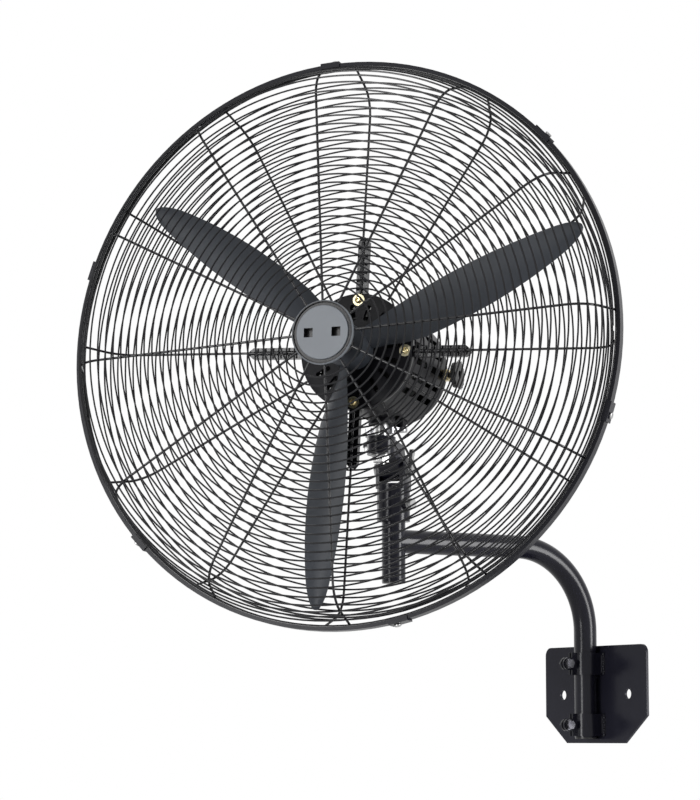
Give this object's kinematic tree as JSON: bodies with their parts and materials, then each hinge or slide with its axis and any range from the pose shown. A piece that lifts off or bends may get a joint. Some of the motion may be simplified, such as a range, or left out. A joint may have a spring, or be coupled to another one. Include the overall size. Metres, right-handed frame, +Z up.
{
  "type": "wall mounted fan",
  "caption": "Oscillating wall mounted fan: bladed rotor in a domed wire guard, motor and swing gearbox on a tilting neck, bent tube arm in pinch collars on a drilled wall plate.",
  "frame": {"origin": "centre of the wall plate's back face, on the wall", "axes": "+Y into the wall, +Z up, so the fan stands off towards -Y and is turned 37 degrees towards +X"},
  "size_m": [0.6159, 0.757, 0.8919],
  "materials": {
    "plate_enamel": "gloss black enamel",
    "tube_enamel": "gloss black enamel",
    "guard_enamel": "gloss black enamel",
    "motor_enamel": "satin black enamel",
    "bare_aluminium": "cast",
    "zinc_bolts": "yellow zinc plated",
    "bright_steel": "zinc plated",
    "plated_links": "zinc plated",
    "bearing_bronze": "machined",
    "lamination_steel": "stacked sheet",
    "winding_wire": "lacquered copper",
    "blade_plastic": "matte dark blue-grey",
    "badge_plastic": "satin grey",
    "black_plastic": "matte"
  },
  "bodies": {
    "wall_bracket": {"wall_plate": "plate_enamel", "upper_tube_collar": "plate_enamel", "lower_tube_collar": "plate_enamel", "collar_bolts": "bright_steel", "collar_washers": "bright_steel", "collar_nuts": "tube_enamel"},
    "arm": {"arm_tube": "tube_enamel", "post_tube": "tube_enamel", "tube_plugs": "black_plastic"},
    "yoke": {"swivel_socket": "tube_enamel", "socket_bolt": "bright_steel", "socket_washer": "bright_steel", "tilt_bolt": "bright_steel", "tilt_washer": "bright_steel"},
    "lever": {"tilt_lever": "bright_steel"},
    "tilting_neck": {"tilt_head": "tube_enamel", "swing_bush": "bearing_bronze", "anchor_bolt": "bright_steel"},
    "head": {"swing_shaft": "bright_steel", "swing_washer": "bright_steel", "swing_nut": "bright_steel", "gearbox_housing": "motor_enamel", "gearbox_lid": "motor_enamel", "motor_casing": "motor_enamel", "casing_lugs": "bare_aluminium", "front_shield": "motor_enamel", "rear_shield": "bare_aluminium", "stator_core": "lamination_steel", "stator_windings": "winding_wire", "motor_bearings": "bright_steel", "shield_bolts": "zinc_bolts", "shield_washers": "zinc_bolts", "guard_cross": "guard_enamel", "rear_face_rings": "guard_enamel", "rear_shoulder_rings": "guard_enamel", "rear_guard_ribs": "guard_enamel", "rear_rim_wire": "guard_enamel", "front_face_rings": "guard_enamel", "front_shoulder_rings": "guard_enamel", "front_guard_ribs": "guard_enamel", "front_rim_wire": "guard_enamel", "guard_hoop": "guard_enamel", "rim_clips": "guard_enamel", "clip_screws": "bright_steel", "badge_cap": "badge_plastic", "badge_plate": "bare_aluminium", "badge_screws": "bright_steel", "run_capacitor": "black_plastic", "cable_gland": "black_plastic", "speed_switch": "black_plastic", "switch_nut": "zinc_bolts"},
    "rotor": {"motor_shaft": "bright_steel", "rotor_core": "lamination_steel", "blade_wheel": "blade_plastic", "hub_washer": "bright_steel", "hub_nut": "bright_steel"},
    "worm_gear": {"worm_wheel": "black_plastic"},
    "crank": {"swing_crank": "plated_links"},
    "link": {"swing_link": "plated_links"},
    "knob": {"speed_knob": "black_plastic"}
  },
  "joints": [
    {"name": "arm_swivel", "type": "hinge", "parent": "wall_bracket", "child": "arm", "pos_m": [0, -0.0203, 0], "axis": [0, 0, 1], "range_deg": [-20, 20]},
    {"name": "neck_swivel", "type": "hinge", "parent": "arm", "child": "yoke", "pos_m": [0, -0.3438, 0.25], "axis": [0, 0, 1], "range_deg": [-40, 15]},
    {"name": "head_tilt", "type": "hinge", "parent": "yoke", "child": "tilting_neck", "pos_m": [0, -0.3438, 0.3], "axis": [-0.7986, -0.6018, 0], "range_deg": [-20, 15]},
    {"name": "lever_turn", "type": "hinge", "parent": "yoke", "child": "lever", "pos_m": [0.0214, -0.32767, 0.3], "axis": [-0.7986, -0.6018, 0], "range_deg": [-60, 60]},
    {"name": "head_oscillation", "type": "hinge", "parent": "tilting_neck", "child": "head", "pos_m": [0.02912, -0.38245, 0.32709], "axis": [-0.0378, 0.0501, 0.998], "range_deg": [-32, 32]},
    {"name": "blade_spin", "type": "hinge", "parent": "head", "child": "rotor", "pos_m": [0.12411, -0.5085, 0.44624], "axis": [0.6006, -0.7971, 0.0628], "continuous": true},
    {"name": "worm_wheel_turn", "type": "hinge", "parent": "head", "child": "worm_gear", "pos_m": [0.02192, -0.34431, 0.43412], "axis": [-0.0378, 0.0501, 0.998], "continuous": true},
    {"name": "crank_turn", "type": "hinge", "parent": "head", "child": "crank", "pos_m": [0.02506, -0.34848, 0.35128], "axis": [-0.0378, 0.0501, 0.998], "range_deg": [-30, 30]},
    {"name": "link_turn", "type": "hinge", "parent": "crank", "child": "link", "pos_m": [0.02689, -0.36612, 0.34723], "axis": [-0.0378, 0.0501, 0.998], "range_deg": [-62, 62]},
    {"name": "speed_knob_turn", "type": "hinge", "parent": "head", "child": "knob", "pos_m": [0.076, -0.29178, 0.42451], "axis": [0.7986, 0.6018, 0], "range_deg": [0, 270]}
  ],
  "couplings": [
    {"joint": "worm_wheel_turn", "follows": "blade_spin", "ratio": 0.05},
    {"joint": "crank_turn", "follows": "head_oscillation", "ratio": 0.87777},
    {"joint": "link_turn", "follows": "head_oscillation", "ratio": -1.8778}
  ]
}
